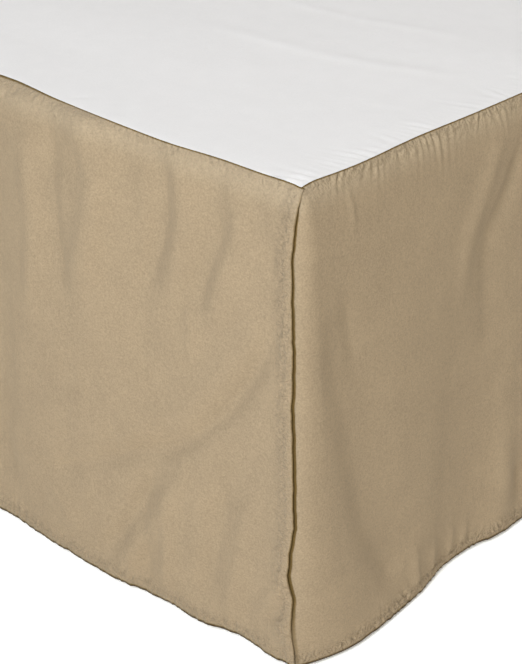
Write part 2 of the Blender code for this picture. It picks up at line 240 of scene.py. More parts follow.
# Soft random waves of the platform in mm: cell from the side and from the foot, height, seed
DECK_WAVES = ((110, 77, 0.9, 1), (45, 31.5, 0.3, 2))
DECK_CALM = 30 * MM
DECK_PUCKER = 0.9 * MM
DECK_FOOT_PUCKER = 0.45 * MM
DECK_PUCKER_REACH = 20 * MM
DECK_LOWEST = -0.7 * MM
DECK_PULL = 25 * MM

# Soft random waves of a panel in mm: cell along and down, height, seed
WAVES = ((35, 75, 1.3, 3), (17, 30, 0.7, 5), (8, 13, 0.28, 8), (4, 5.5, 0.08, 13))
FOOT_WAVES = 1.0
SIDE_WAVES = 0.3
SEAM_CALM = 30 * MM
HEM_CALM = 40 * MM
HEM_CALM_SHARE = 0.35
RIPPLE = 0.3 * MM
RIPPLE_CELL = 5.5 * MM
RIPPLE_REACH = 9 * MM

# Puckers at the seams, in mm: distance from the corner, height
FOOT_PUCKERS = ((0, 0.2), (60, 0.35), (150, 0.5), (230, 1), (320, 1.1), (1512, 0.8))
SIDE_PUCKERS = ((0, 0.1), (30, 0.5), (70, 0.9), (130, 1.1), (250, 1.5), (400, 1.2), (2040, 0.9))
PUCKER_PITCH = 8 * MM
PUCKER_RISE = 9 * MM
PUCKER_REACH = 17 * MM
HEM_PUCKER = 0.8 * MM
HEM_PUCKER_REACH = 12 * MM

# Unevenness of the puckers: shares, and the cells over which each of them changes
PUCKER_SLANT = 0.45
PUCKER_SLANT_MIDDLE = 0.4
PUCKER_SLANT_CELL = 27 * MM
PUCKER_SHIFT = 0.6
PUCKER_SHIFT_CELL = 24 * MM
PUCKER_CRUMPLE = 0.6
PUCKER_CRUMPLE_CELL = (2.6 * MM, 30 * MM)
PUCKER_LEAST = 0.25
PUCKER_MIDDLE = 0.7
PUCKER_SWING = 0.9
PUCKER_SWING_CELL = 11 * MM
PUCKER_REACH_SWING = 0.6
PUCKER_REACH_CELL = 9 * MM

# Noise: points of its lattice a side, seeds of the pieces, and what each unevenness adds to them
NOISE_POINTS = 64
FOOT_SEED = 100
RIGHT_SEED = 200
LEFT_SEED = 300
DECK_SEED = 400
SPRING_SEED = 31
HEM_PUCKER_SEED = 7
RIPPLE_SEED = 40
JAG_SEED = 60
DECK_SIDE_SEED = 10
DECK_FOOT_SEED = 20

# Rows of a panel: how many on the turned edge, the face and the hem band, and how they crowd
TURN_ROWS = 12
FACE_ROWS = 102
HEM_ROWS = 16
HEM_ROW_BAND = 14 * MM
TURN_CROWDING = 1.3
FACE_CROWDING = 1.15
HEM_CROWDING = 1.3

# Columns of a panel: spans of an end and a step, close together where they show and at the hems
EDGE_SPAN = 10 * MM
FOOT_SPANS = (
    (EDGE_SPAN, 0.8 * MM), (0.33, 1.7 * MM), (FOOT_WIDTH - 0.3, 12 * MM),
    (FOOT_WIDTH - EDGE_SPAN, 6 * MM), (FOOT_WIDTH, 0.9 * MM),
)
RIGHT_SPANS = ((0.31, 1.6 * MM), (SIDE_LENGTH - EDGE_SPAN, 13.5 * MM), (SIDE_LENGTH, 0.9 * MM))
LEFT_SPANS = ((0.30, 6 * MM), (SIDE_LENGTH - EDGE_SPAN, 14 * MM), (SIDE_LENGTH, 0.9 * MM))

# Grid lines of the platform, as the spans above, from its left side and from its foot
DECK_ACROSS = ((0.02, 3.6 * MM), (FOOT_WIDTH - 0.36, 22 * MM), (FOOT_WIDTH, 3.6 * MM))
DECK_ALONG = ((0.36, 2.6 * MM), (SIDE_LENGTH - 0.02, 24 * MM), (SIDE_LENGTH, 2.6 * MM))

# A stitch: sides, and rings as share of its length, rise and size in its radii
STITCH_SIDES = 5
STITCH_RINGS = (
    (0, -1.2, 0.6), (0.2, 0.3, 1), (0.5, 0.7, 1), (0.8, 0.3, 1), (1, -1.2, 0.6),
)

# Box spring: its corners, and the cell of its waves along a side and as a share of its height
SPRING_RADIUS = 25 * MM
LEAST_RADIUS = 0.5 * MM
CORNER_POINTS = 9
RING_STEP = 26 * MM
SPRING_WAVE = 40 * MM
SPRING_WAVE_RISE = 0.3

# Box spring's profile from the bottom up: inset in mm, share of the height, waviness in mm
SPRING_PROFILE = (
    (40, 0, 0), (14, 0.002, 0), (8, 0.012, 0), (5, 0.03, 0), (2.2, 0.04, 0), (0.6, 0.05, 0),
    (0.2, 0.06, 0), (0.8, 0.072, 0), (2.6, 0.08, 0), (3.2, 0.095, 0.1), (1.6, 0.14, 0.4),
    (0.8, 0.22, 0.6), (0.4, 0.34, 0.7), (0.2, 0.50, 0.7), (0.4, 0.66, 0.7), (0.8, 0.78, 0.6),
    (1.6, 0.86, 0.4), (3.2, 0.905, 0.1), (2.6, 0.92, 0), (0.8, 0.928, 0), (0.2, 0.94, 0),
    (0.8, 0.952, 0), (2.6, 0.962, 0), (5, 0.976, 0), (9, 0.99, 0), (14, 0.998, 0), (40, 1, 0),
)

# Leg and glide: share of the radius, share of the height
LEG_PROFILE = ((0.90, 0), (1, 0.015), (1, 0.93), (0.97, 0.95), (0.97, 0.985), (0.90, 1))
GLIDE_PROFILE = (
    (0.80, 0), (0.95, 0.06), (1, 0.22), (1, 0.55), (0.96, 0.75), (0.84, 0.93), (0.72, 1),
)
LATHE_SIDES = 40

# Soft shoulder below a seam, where the cloth stands out over its turned edge
FOOT_SHOULDER = 3.2 * MM
SIDE_SHOULDER = 4.6 * MM
SHOULDER_DEPTH = 28 * MM
SHOULDER_POWER = 2

# Camera: place, turn about Z, tilt down and roll in degrees, focal length in pixels
CAMERA_PLACE = (1.4675, -1.8700, 0.8458)
CAMERA_TURN = 40.86
CAMERA_TILT = 26.96
CAMERA_ROLL = 1.24
CAMERA_FOCAL = 1851
CAMERA_NEAR = 0.01
PHOTO_HEIGHT = 664
SENSOR = 36

# Base colours
KHAKI = (0.3, 0.224, 0.141)
KHAKI_THREAD = (0.275, 0.205, 0.126)
COTTON = (0.65, 0.626, 0.616)
TICKING = (0.7, 0.68, 0.64)
STRIPE = (0.5, 0.52, 0.55)
STRIPE_SCALE = 26
STEEL = (0.045, 0.045, 0.048)
PLASTIC = (0.03, 0.03, 0.03)
WHITE = (1.0, 1.0, 1.0)

# Painted light and shade of the cloth: painted light below the seam, painted shade in a fold and at
# its edge, and where the fold's painted shade lies
PAINTED_HIGHLIGHT_TINT = (1.13, 1.165, 1.21)
PAINTED_FOLD_SHADE = (0.36, 0.27, 0.045)
PAINTED_EDGE_SHADE = (0.09, 0.05, 0.008)
FOLD_STOP = 0.55

# Sockets of a colour Mix node
MIX_A = 6
MIX_B = 7
MIX_RESULT = 2

# Floor: half its side, its colours, and its glow: colour, strength near and far, and how far out
FLOOR_SIZE = 40
FLOOR_COLOURS = ((0.97, 0.96, 0.93), (0.98, 0.97, 0.94))
GLOW_COLOUR = (1.0, 0.97, 0.90)
FLOOR_GLOW = 0.35
FAR_GLOW = 0.9
GLOW_NEAR = 2.6
GLOW_FAR = 6.0

# Lights: name, place, aim, size across, power, colour
SHOWN_CORNER = (SEAM_X, -SEAM_Y, 0.2)
LIGHTS = (
    ("key", (1.93, -4.23, 2.95), SHOWN_CORNER, 1.8, 238, (0.905, 0.957, 1.0)),
    ("top", (1.1, -0.3, 3.4), (0.5, -0.4, 0.3), 2.4, 49, (1.0, 0.985, 0.95)),
    ("fill", (4.6, -1.45, 1.4), SHOWN_CORNER, 1.6, 14, (1.0, 0.79, 0.38)),
    ("back", (-4.2, 2.4, 2.6), (0, 0, 0.2), 2.6, 110, WHITE),
)


# Helpers on arrays

def lerp(a, b, t):
    return a + (b - a) * t


def smooth(t):
    t = np.clip(t, 0.0, 1.0)
    return t * t * (3 - 2 * t)


def eased(table, place):
    """Values in metres of a table in mm, on a smooth line through its rows."""
    at = np.asarray(place, float) / MM
    spots, values = np.array(table, float).T
    slopes = np.gradient(values, spots)
    row = np.clip(np.searchsorted(spots, at) - 1, 0, len(spots) - 2)
    width = spots[row + 1] - spots[row]
    share = np.clip((at - spots[row]) / width, 0, 1)
    left = 1 - share
    through = values[row] * (1 + 2 * share) * left ** 2
    through = through + values[row + 1] * (3 - 2 * share) * share ** 2
    lean = width * share * left * (slopes[row] * left - slopes[row + 1] * share)
    return (through + lean) * MM


def noise(seed, x, y, cell_x, cell_y):
    """Smooth value noise between -1 and 1 on cells of the given sizes."""
    lattice = np.random.RandomState(seed).uniform(-1, 1, (NOISE_POINTS, NOISE_POINTS))
    u = np.asarray(x) / cell_x
    v = np.asarray(y) / cell_y
    low_u = np.floor(u).astype(int)
    low_v = np.floor(v).astype(int)
    part_u = smooth(u - low_u)
    part_v = smooth(v - low_v)

    def knot(i, j):
        return lattice[(low_u + i) % NOISE_POINTS, (low_v + j) % NOISE_POINTS]

    near = lerp(knot(0, 0), knot(1, 0), part_u)
    far = lerp(knot(0, 1), knot(1, 1), part_u)
    return lerp(near, far, part_v)


def line_noise(seed, place, cell):
    """The same noise along a line."""
    return noise(seed, place, 0 * place, cell, 1.0)


def wave_height(waves, seed, along, down):
    """Height in metres of soft random waves."""
    return sum(height * MM * noise(seed + number, along, down, cell_a * MM, cell_d * MM)
               for cell_a, cell_d, height, number in waves)


def rounded(points):
    """Line in metres through points in mm, with its corners cut round."""
    spots = np.array(points, float) * MM
    for _ in range(CREASE_ROUNDS):
        near = lerp(spots[:-1], spots[1:], CREASE_CUT)
        far = lerp(spots[:-1], spots[1:], 1 - CREASE_CUT)
        inner = np.stack([near, far], axis=1).reshape(-1, 2)
        spots = np.concatenate([spots[:1], inner, spots[-1:]])
    return spots


def line_distance(spots, along, down):
    """Distance of places from a line, how far along it they lie, and on which side of it."""
    lengths = np.linalg.norm(np.diff(spots, axis=0), axis=1)
    before = np.concatenate([[0], np.cumsum(lengths)])
    least = np.full(along.shape, np.inf)
    run = np.zeros(along.shape)
    side = np.zeros(along.shape)
    for start, end, length, done in zip(spots, spots[1:], lengths, before):
        way = (end - start) / length
        off_a = along - start[0]
        off_d = down - start[1]
        reach = np.clip(off_a * way[0] + off_d * way[1], 0, length)
        distance = np.hypot(off_a - reach * way[0], off_d - reach * way[1])
        closer = distance < least
        least = np.where(closer, distance, least)
        run = np.where(closer, done + reach, run)
        side = np.where(closer, off_a * way[1] - off_d * way[0], side)
    return least, run, side, lengths.sum()


def crease_height(creases, along, down):
    """Height in metres of all the creases at places in metres."""
    along, down = np.broadcast_arrays(along, down)
    total = np.zeros(along.shape)
    for upper, lower, width, lean, points in creases:
        spots = rounded(points)
        reach = CREASE_REACH * width * MM
        low = spots.min(axis=0) - reach
        high = spots.max(axis=0) + reach
        close = (along > low[0]) & (along < high[0]) & (down > low[1]) & (down < high[1])
        if not close.any():
            continue
        distance, run, side, whole = line_distance(spots, along[close], down[close])
        flank = np.clip(side / np.maximum(distance, CREASE_LEAST), -1, 1)
        half = width * MM * (1 + lean * flank)
        taper = min(CREASE_TAPER_SHARE * whole, CREASE_TAPER)
        ends = lerp(CREASE_END, 1, smooth(run / taper))
        ends = ends * lerp(CREASE_END, 1, smooth((whole - run) / taper))
        height = lerp(upper, lower, run / whole) * MM
        total[close] += height * ends * np.exp(-(distance / half) ** 2)
    return total


# Drop panels

def row_shares():
    """Shares of the turn and of the face for each row, close together at the hem."""
    turn_rows = np.linspace(0, 1, TURN_ROWS) ** TURN_CROWDING
    band = HEM_ROW_BAND / FACE_DROP
    upper = np.linspace(0, 1, FACE_ROWS + 1)[1:] ** FACE_CROWDING * (1 - band)
    lower = 1 - band * np.linspace(1, 0, HEM_ROWS + 1)[1:] ** HEM_CROWDING
    face = np.concatenate([np.zeros(len(turn_rows)), upper, lower])
    turned = np.concatenate([turn_rows, np.ones(len(upper) + len(lower))])
    return turned[:, None], face[:, None]


def edge_drop(out):
    """Fall of the cloth below the deck at a seam that stands out past the flat top."""
    bound = np.clip(out / TURN_RADIUS, 0, EDGE_LIMIT)
    return TURN_RADIUS * (1 - np.sqrt(1 - bound ** 2))


def turn(seam_out, share, shoulder):
    """Out, down and slope angle along the soft edge, from the seam to the top of the face."""
    drop = edge_drop(seam_out)
    kink = lerp(drop, TURN_RADIUS, TURN_KINK)
    end = TURN_RADIUS - shoulder
    kink_out = end - SHOULDER_POWER * shoulder / SHOULDER_DEPTH * (TURN_RADIUS - kink)
    left = 1 - share
    out = seam_out * left ** 2 + 2 * kink_out * share * left + end * share ** 2
    down = drop * left ** 2 + 2 * kink * share * left + TURN_RADIUS * share ** 2
    ahead = (kink_out - seam_out) * left + (end - kink_out) * share
    fall = (kink - drop) * left + (TURN_RADIUS - kink) * share
    return out, down, np.arctan2(fall, ahead)


def shoulder_back(shoulder, down):
    """How far the face falls back under the soft edge, before it slopes out to its drape."""
    left = 1 - np.clip((down - TURN_RADIUS) / SHOULDER_DEPTH, 0, 1)
    return shoulder * left ** SHOULDER_POWER


def pucker_height(height, along, distance, longest, seed):
    """Gathers of a line of stitches, uneven in pitch, slant and height, that fade with distance."""
    shifting, swinging, reaching, slanting, crumpling = range(seed, seed + 5)
    lean = PUCKER_SLANT_MIDDLE + line_noise(slanting, along, PUCKER_SLANT_CELL)
    place = along + PUCKER_SLANT * lean * distance
    shift = PUCKER_SHIFT * line_noise(shifting, place, PUCKER_SHIFT_CELL)
    wave = np.sin(2 * math.pi * (place / PUCKER_PITCH + shift))
    wave = wave + PUCKER_CRUMPLE * noise(crumpling, place, distance, *PUCKER_CRUMPLE_CELL)
    swing = PUCKER_SWING * line_noise(swinging, along, PUCKER_SWING_CELL)
    uneven = np.maximum(PUCKER_LEAST, PUCKER_MIDDLE + swing)
    reach = longest * (1 + PUCKER_REACH_SWING * line_noise(reaching, along, PUCKER_REACH_CELL))
    rise = smooth(distance / PUCKER_RISE)
    return height * uneven * wave * rise * np.exp(-(distance / reach) ** 2)


def edge_finish(from_edge, band):
    """Rise of a hem's doubled band, with the dip of its stitch line."""
    doubled = BAND_RISE * (1 - smooth((from_edge - band - BAND_START) / BAND_FALL))
    line = STITCH_DIP * np.exp(-((from_edge - band) / STITCH_DIP_WIDTH) ** 2)
    rolled = ROLL_DROP * np.exp(-from_edge / ROLL_WIDTH)
    return doubled - line - rolled


def panel_lift(creases, puckers, waves, along, down, from_seam, from_hem, seed):
    """Height of all the relief of a panel over its plain drape."""
    lift = crease_height(creases, along, down) * smooth(from_seam / CREASE_START)
    calm = smooth(from_seam / SEAM_CALM) * lerp(HEM_CALM_SHARE, 1, smooth(from_hem / HEM_CALM))
    lift = lift + waves * wave_height(WAVES, seed, along, down) * calm
    lift = lift + pucker_height(eased(puckers, along), along, from_seam, PUCKER_REACH, seed)
    lift = lift + pucker_height(HEM_PUCKER, along, from_hem, HEM_PUCKER_REACH,
                                seed + HEM_PUCKER_SEED)
    ripple = line_noise(seed + RIPPLE_SEED, along, RIPPLE_CELL)
    lift = lift + RIPPLE * ripple * np.exp(-(from_hem / RIPPLE_REACH) ** 2)
    lift = lift + edge_finish(from_hem, HEM_BAND)
    return lift - SEAM_DIP * np.exp(-(from_seam / SEAM_DIP_WIDTH) ** 2)


def drape(seam_table, hem_table, creases, puckers, waves, shoulder, along, rows, seed):
    """Out, down and slope angle over a panel, and the height of its relief."""
    turn_share, face_share = rows
    seam_out = eased(seam_table, along) + SEAM_HALF_GAP - SEAM_INSIDE
    out, down, angle = turn(seam_out, turn_share, shoulder)
    on_face = face_share > 0
    hang = lerp(TURN_RADIUS, eased(hem_table, along), face_share ** HEM_BLEND_POWER)
    hang = hang + BOW * np.sin(math.pi * face_share)
    down = np.where(on_face, TURN_RADIUS + FACE_DROP * face_share, down)
    out = np.where(on_face, hang - shoulder_back(shoulder, down), out)
    from_seam = seam_distance(rows)
    from_hem = hem_distance(rows)
    lift = panel_lift(creases, puckers, waves, along, down, from_seam, from_hem, seed)
    jag = HEM_JAG * line_noise(seed + JAG_SEED, along, HEM_JAG_CELL)
    down = down - np.abs(jag) * np.exp(-(from_hem / HEM_JAG_REACH) ** 2)
    return out, down + corner_dip(np.hypot(along, from_seam)), angle, lift


def seam_distance(rows):
    turn_share, face_share = rows
    return TURN_RUN * (1 - (1 - turn_share) ** TURN_RUN_POWER) + FACE_DROP * face_share


def hem_distance(rows):
    turn_share, face_share = rows
    return FACE_DROP * (1 - face_share) + TURN_RUN * (1 - turn_share) ** TURN_RUN_POWER


def corner_dip(distance):
    """Fall of the cloth at the very corner of the bed, where the seams meet."""
    return CORNER_DIP * np.exp(-(distance / CORNER_DIP_REACH) ** 2)


def laid(out, down, angle, lift):
    """Out and height after the relief is laid on the drape along its normal."""
    return out + lift * np.sin(angle), TOP_MID_Z - down + lift * np.cos(angle)


def foot_drape(along, rows, lowered=0.0):
    """Across, out and height of the foot panel, or of what lies behind it by a distance."""
    out, down, angle, lift = drape(FOOT_SEAM, FOOT_HEM, FOOT_CREASES, FOOT_PUCKERS,
                                   FOOT_WAVES, FOOT_SHOULDER, along, rows, FOOT_SEED)
    jag = FOOT_EDGE_JAG * line_noise(FOOT_SEED + JAG_SEED, down, HEM_JAG_CELL)
    beyond = eased(FOOT_EDGE, down) + jag
    near = np.maximum(0, 1 - along / FOOT_EDGE_FADE)
    far = np.maximum(0, 1 - (FOOT_WIDTH - along) / FOOT_EDGE_FADE)
    across = SEAM_X - along + beyond * (near - far)
    out, height = laid(out, down, angle, lift - lowered)
    return across, out, height


def finish_marks(rows, from_side, from_slit=np.inf):
    """Marks for the material: painted shade at the hem, seam and corner slit, crimped cloth, and
    painted light below the seam.
    """
    from_hem = hem_distance(rows)
    from_seam = seam_distance(rows)
    opened = smooth(from_seam / SLIT_TOP) * lerp(SLIT_FOOT_SHARE, 1, smooth(from_hem / SLIT_FOOT))
    # painted shade: darkest along the hem's edge, less along the seam line and in the corner slit
    edge = 0
    for strength, distance, width in ((1, from_hem, HEM_SHADE_WIDTH),
                                      (SEAM_PAINTED_SHADE, from_seam, SEAM_SHADE_WIDTH),
                                      (SLIT_PAINTED_SHADE * opened, from_side, SLIT_SHADE_WIDTH),
                                      (SLIT_PAINTED_SHADE * opened, from_slit, SLIT_SHADE_DEPTH)):
        edge = np.maximum(edge, strength * np.exp(-(distance / width) ** EDGE_SHARPNESS))
    crimp = np.exp(-((from_hem - CRIMP_PLACE * HEM_BAND) / CRIMP_WIDTH) ** 2)
    at_side = np.exp(-((from_side - CRIMP_PLACE * SIDE_BAND) / CRIMP_WIDTH) ** 2)
    at_seam = SEAM_CRIMP * np.exp(-(from_seam / SEAM_CRIMP_WIDTH) ** 2)
    crimp = np.maximum(np.maximum(crimp, at_side), at_seam)
    # painted light: the band below the seam is painted lighter
    painted_highlight = 1 - smooth((from_seam - PAINTED_HIGHLIGHT_FULL) / PAINTED_HIGHLIGHT_FADE)
    return {"edge": edge, "crimp": crimp, "painted_highlight": painted_highlight}


def foot_grid(along, rows):
    across, out, height = foot_drape(along[None, :], rows)
    edge = np.minimum(along, FOOT_WIDTH - along)[None, :]
    out = out + edge_finish(edge, SIDE_BAND)
    return np.stack([across, -SEAM_Y - out, height], axis=-1)


def corner_start(rows):
    """Where a side panel starts and ends its bend, across and along, and its fullness."""
    turn_share, face_share = rows
    depth = TURN_RADIUS * turn_share + FACE_DROP * face_share
    reach = eased(BEND_REACH, depth)
    fullness = np.clip((reach - BEND_ROUND) / BEND_ROUND, 0, 1)
    return eased(BEND_START, depth), reach, fullness


def side_grid(side, places, rows, seed):
    """Mid surface of a side panel: its lap, its bend round the corner and its face."""
    across, start, fullness = corner_start(rows)
    turn_share, face_share = rows
    behind = lerp(LAP_BEHIND, LAP_BEHIND_HEM, face_share ** LAP_BEHIND_POWER)

    def lap(along):
        from_right = along if side > 0 else FOOT_WIDTH - along
        x, out, height = foot_drape(from_right, rows, behind)
        return side * x, out, height

    def face(along):
        return laid(*drape(SIDE_SEAM, SIDE_HEM, SIDE_CREASES, SIDE_PUCKERS,
                           SIDE_WAVES, SIDE_SHOULDER, along, rows, seed))

    back = np.linspace(LAP_LENGTH, 0, LAP_COLUMNS + 1)[None, :-1]
    lap_x, lap_out, lap_height = lap(across + back)
    lap_part = np.stack([lap_x, -SEAM_Y - lap_out, lap_height], axis=-1)

    corner_x, corner_out, corner_height = lap(across)
    face_out, face_height = face(start)
    share = np.linspace(0, 1, BEND_COLUMNS + 1)[None, :-1]
    angle = share * math.pi / 2
    x = corner_x + (SEAM_X + face_out - corner_x) * np.sin(angle)
    passed = lerp(1 - np.cos(angle), share, fullness)
    y = -SEAM_Y - corner_out + (start + corner_out) * passed
    height = lerp(corner_height, face_height, smooth(share))
    bend_part = np.stack([x, y, height], axis=-1)

    along = places[None, :] + start * np.maximum(0, 1 - places[None, :] / FLARE_FADE)
    out, height = face(along)
    from_end = SIDE_LENGTH - along
    out = out + edge_finish(from_end, SIDE_BAND)
    face_part = np.stack([SEAM_X + out, -SEAM_Y + along, height], axis=-1)

    grid = np.concatenate([lap_part, bend_part, face_part], axis=1)
    if side > 0:
        return grid[:, ::-1]
    grid[..., 0] *= -1
    return grid


def side_edge(places):
    """Distance of each column of a side panel from its head edge."""
    columns = LAP_COLUMNS + BEND_COLUMNS
    return np.concatenate([np.full(columns, SIDE_LENGTH), SIDE_LENGTH - places])[None, :]


def slit_depth(rows, places):
    """Distance of each point of a side panel from the part of it inside the corner slit."""
    reach = corner_start(rows)[1]
    bend = reach * np.linspace(0, 1, BEND_COLUMNS + 1)[None, :-1] * math.sqrt(2)
    lap = np.zeros((len(reach), LAP_COLUMNS))
    face = np.broadcast_to(reach * math.sqrt(2) + places[None, :], (len(reach), len(places)))
    return np.concatenate([lap, bend, face], axis=1)


def spread(spans):
    """Distances along a cloth, over spans that follow each other."""
    run = [0.0]
    for end, step in spans:
        count = max(1, round((end - run[-1]) / step))
        run += list(np.linspace(run[-1], end, count + 1)[1:])
    return np.array(run)


# Meshes

def grid_normals(grid):
    normal = np.cross(np.gradient(grid, axis=1), np.gradient(grid, axis=0))
    return normal / np.linalg.norm(normal, axis=2, keepdims=True)


def new_object(name, data):
    thing = bpy.data.objects.new(name, data)
    bpy.context.scene.collection.objects.link(thing)
    return thing


def ring_faces(rings, count):
    """Faces between rings of points that follow each other, and over both ends."""
    index = np.arange(rings * count).reshape(rings, count)
    after = np.roll(index, -1, axis=1)
    quads = np.stack([index[:-1], after[:-1], after[1:], index[1:]], axis=-1).reshape(-1, 4)
    return quads.tolist() + [index[0, ::-1].tolist(), index[-1].tolist()]


def new_piece(name, points, faces, surface, sharp=50):
    mesh = bpy.data.meshes.new(name)
    mesh.from_pydata(points, [], faces)
    mesh.validate()
    mesh.shade_smooth()
    mesh.set_sharp_from_angle(angle=math.radians(sharp))
    mesh.materials.append(surface)
    thing = new_object(name, mesh)
    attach(thing, "root")
    return thing


def cloth_piece(name, grid, surface, marks):
    """Closed thin cloth on both sides of a grid of points, with its marks on the points."""
    rows, columns = grid.shape[:2]
    normal = grid_normals(grid)
    outer = grid + normal * CLOTH / 2
    inner = grid - normal * CLOTH / 2
    points = np.concatenate([outer.reshape(-1, 3), inner.reshape(-1, 3)])
    index = np.arange(rows * columns).reshape(rows, columns)
    squares = np.stack([index[:-1, :-1], index[:-1, 1:], index[1:, 1:], index[1:, :-1]], axis=-1)
    squares = squares.reshape(-1, 4)
    rim = np.concatenate([index[0, :], index[1:, -1], index[-1, -2::-1], index[-2:0:-1, 0]])
    after = np.roll(rim, -1)
    under = rows * columns
    sides = np.stack([after, rim, rim + under, after + under], axis=-1)
    faces = np.concatenate([squares, squares[:, ::-1] + under, sides])
    thing = new_piece(name, points.tolist(), faces.tolist(), surface)
    for mark, values in marks.items():
        layer = thing.data.attributes.new(mark, "FLOAT", "POINT")
        flat = np.broadcast_to(values, (rows, columns)).ravel()
        layer.data.foreach_set("value", np.tile(flat, 2).astype(np.float32))
    return thing


# Materials

class Nodes:
    """Short way to build a material's nodes."""

    def __init__(self, name):
        self.material = bpy.data.materials.new(name)
        self.material.use_nodes = True
        self.tree = self.material.node_tree
        self.shader = self.tree.nodes["Principled BSDF"]
        self.place = self.add("ShaderNodeTexCoord").outputs["Object"]

    def add(self, kind, **settings):
        node = self.tree.nodes.new(kind)
        for key, value in settings.items():
            setattr(node, key, value)
        return node

    def link(self, out, into):
        self.tree.links.new(out, into)

    def noise(self, scale, detail=2.0, roughness=0.5):
        node = self.add("ShaderNodeTexNoise")
        node.inputs["Scale"].default_value = scale
        node.inputs["Detail"].default_value = detail
        node.inputs["Roughness"].default_value = roughness
        self.link(self.place, node.inputs["Vector"])
        return node.outputs["Fac"]

    def mix(self, factor, low, high, stops=(0.3, 0.7)):
        """Colour between two colours by a factor, which runs from one stop to the other."""
        ramp = self.add("ShaderNodeValToRGB")
        ramp.color_ramp.elements[0].position = stops[0]
        ramp.color_ramp.elements[0].color = (*low, 1)
        ramp.color_ramp.elements[1].position = stops[1]
        ramp.color_ramp.elements[1].color = (*high, 1)
        self.link(factor, ramp.inputs["Fac"])
        return ramp.outputs["Color"]

    def painted_shade(self, factor):
        """Painted shade that runs from none, over the painted shade of a fold, to that of an edge.
        """
        ramp = self.add("ShaderNodeValToRGB")
        stops = ramp.color_ramp.elements
        stops.new(FOLD_STOP)
        shades = ((0, WHITE), (FOLD_STOP, PAINTED_FOLD_SHADE), (1, PAINTED_EDGE_SHADE))
        for stop, (place, colour) in zip(stops, shades):
            stop.position = place
            stop.color = (*colour, 1)
        self.link(factor, ramp.inputs["Fac"])
        return ramp.outputs["Color"]

    def mark(self, name):
        return self.add("ShaderNodeAttribute", attribute_name=name).outputs["Fac"]

    def product(self, first, second):
        node = self.add("ShaderNodeMath", operation="MULTIPLY")
        self.link(first, node.inputs[0])
        self.link(second, node.inputs[1])
        return node.outputs["Value"]

    def times(self, first, second):
        node = self.add("ShaderNodeMix", data_type="RGBA", blend_type="MULTIPLY")
        node.inputs["Factor"].default_value = 1.0
        self.link(first, node.inputs[MIX_A])
        self.link(second, node.inputs[MIX_B])
        return node.outputs[MIX_RESULT]

    def sum(self, *parts):
        """Weighted sum of heights, each part a height and its weight."""
        total = None
        for height, weight in parts:
            node = self.add("ShaderNodeMath", operation="MULTIPLY_ADD")
            self.link(height, node.inputs[0])
            node.inputs[1].default_value = weight
            node.inputs[2].default_value = 0.0
            if total:
                self.link(total, node.inputs[2])
            total = node.outputs["Value"]
        return total

    def bump(self, height, distance, strength):
        node = self.add("ShaderNodeBump")
        node.inputs["Distance"].default_value = distance
        node.inputs["Strength"].default_value = strength
        self.link(height, node.inputs["Height"])
        self.link(node.outputs["Normal"], self.shader.inputs["Normal"])

    def colour(self, out):
        self.link(out, self.shader.inputs["Base Color"])

    def set(self, **values):
        for key, value in values.items():
            self.shader.inputs[key.replace("_", " ")].default_value = value
        return self.material


def shade(colour, factor):
    return tuple(channel * factor for channel in colour)


def brushed_cloth(name, colour):
    """Brushed cloth: short soft pile with a fine mottle over a close weave."""
    made = Nodes(name)
    pile = made.noise(720, detail=3, roughness=0.65)
    mottle = made.noise(300, detail=3, roughness=0.6)
    cloud = made.noise(34, detail=4, roughness=0.62)
    fine = made.mix(pile, shade(colour, 0.86), shade(colour, 1.11), stops=(0.32, 0.68))
    patchy = made.mix(mottle, shade(WHITE, 0.945), shade(WHITE, 1.05))
    broad = made.mix(cloud, (0.955, 0.955, 0.957), (1.035, 1.035, 1.033))
    # painted light below the seam
    painted_highlight = made.mix(made.mark("painted_highlight"), WHITE, PAINTED_HIGHLIGHT_TINT, stops=(0.0, 1.0))
    whole = made.times(made.times(made.times(fine, patchy), broad), painted_highlight)
    # painted shade at the hem, seam and corner slit, from the edge mark
    made.colour(made.times(whole, made.painted_shade(made.mark("edge"))))
    gathered = made.product(made.noise(230), made.mark("crimp"))
    made.bump(made.sum((pile, 2.0), (mottle, 2.0), (gathered, 44.0)), 0.25 * MM, strength=0.6)
    return made.set(Roughness=0.93, Sheen_Weight=0.1, Sheen_Roughness=0.45,
                    Sheen_Tint=(0.92, 0.80, 0.60, 1), Specular_IOR_Level=0.25)


def plain_cotton(name, colour):
    """Plain woven white cotton with a faint mottle."""
    made = Nodes(name)
    yarn = made.noise(900)
    mottle = made.noise(60, detail=3, roughness=0.6)
    fine = made.mix(yarn, shade(colour, 0.975), shade(colour, 1.02))
    broad = made.mix(mottle, shade(WHITE, 0.985), shade(WHITE, 1.01))
    made.colour(made.times(fine, broad))
    made.bump(made.sum((yarn, 0.6), (mottle, 0.6)), 0.15 * MM, strength=0.5)
    return made.set(Roughness=0.85, Sheen_Weight=0.1, Specular_IOR_Level=0.3)


def grained(name, colour, shades, grain, relief, depth, strength, **finish):
    """Plain material with a grain in its colour and a fine relief."""
    made = Nodes(name)
    low, high = (shade(colour, share) for share in shades)
    made.colour(made.mix(made.noise(*grain), low, high))
    made.bump(made.noise(*relief), depth, strength)
    return made.set(**finish)


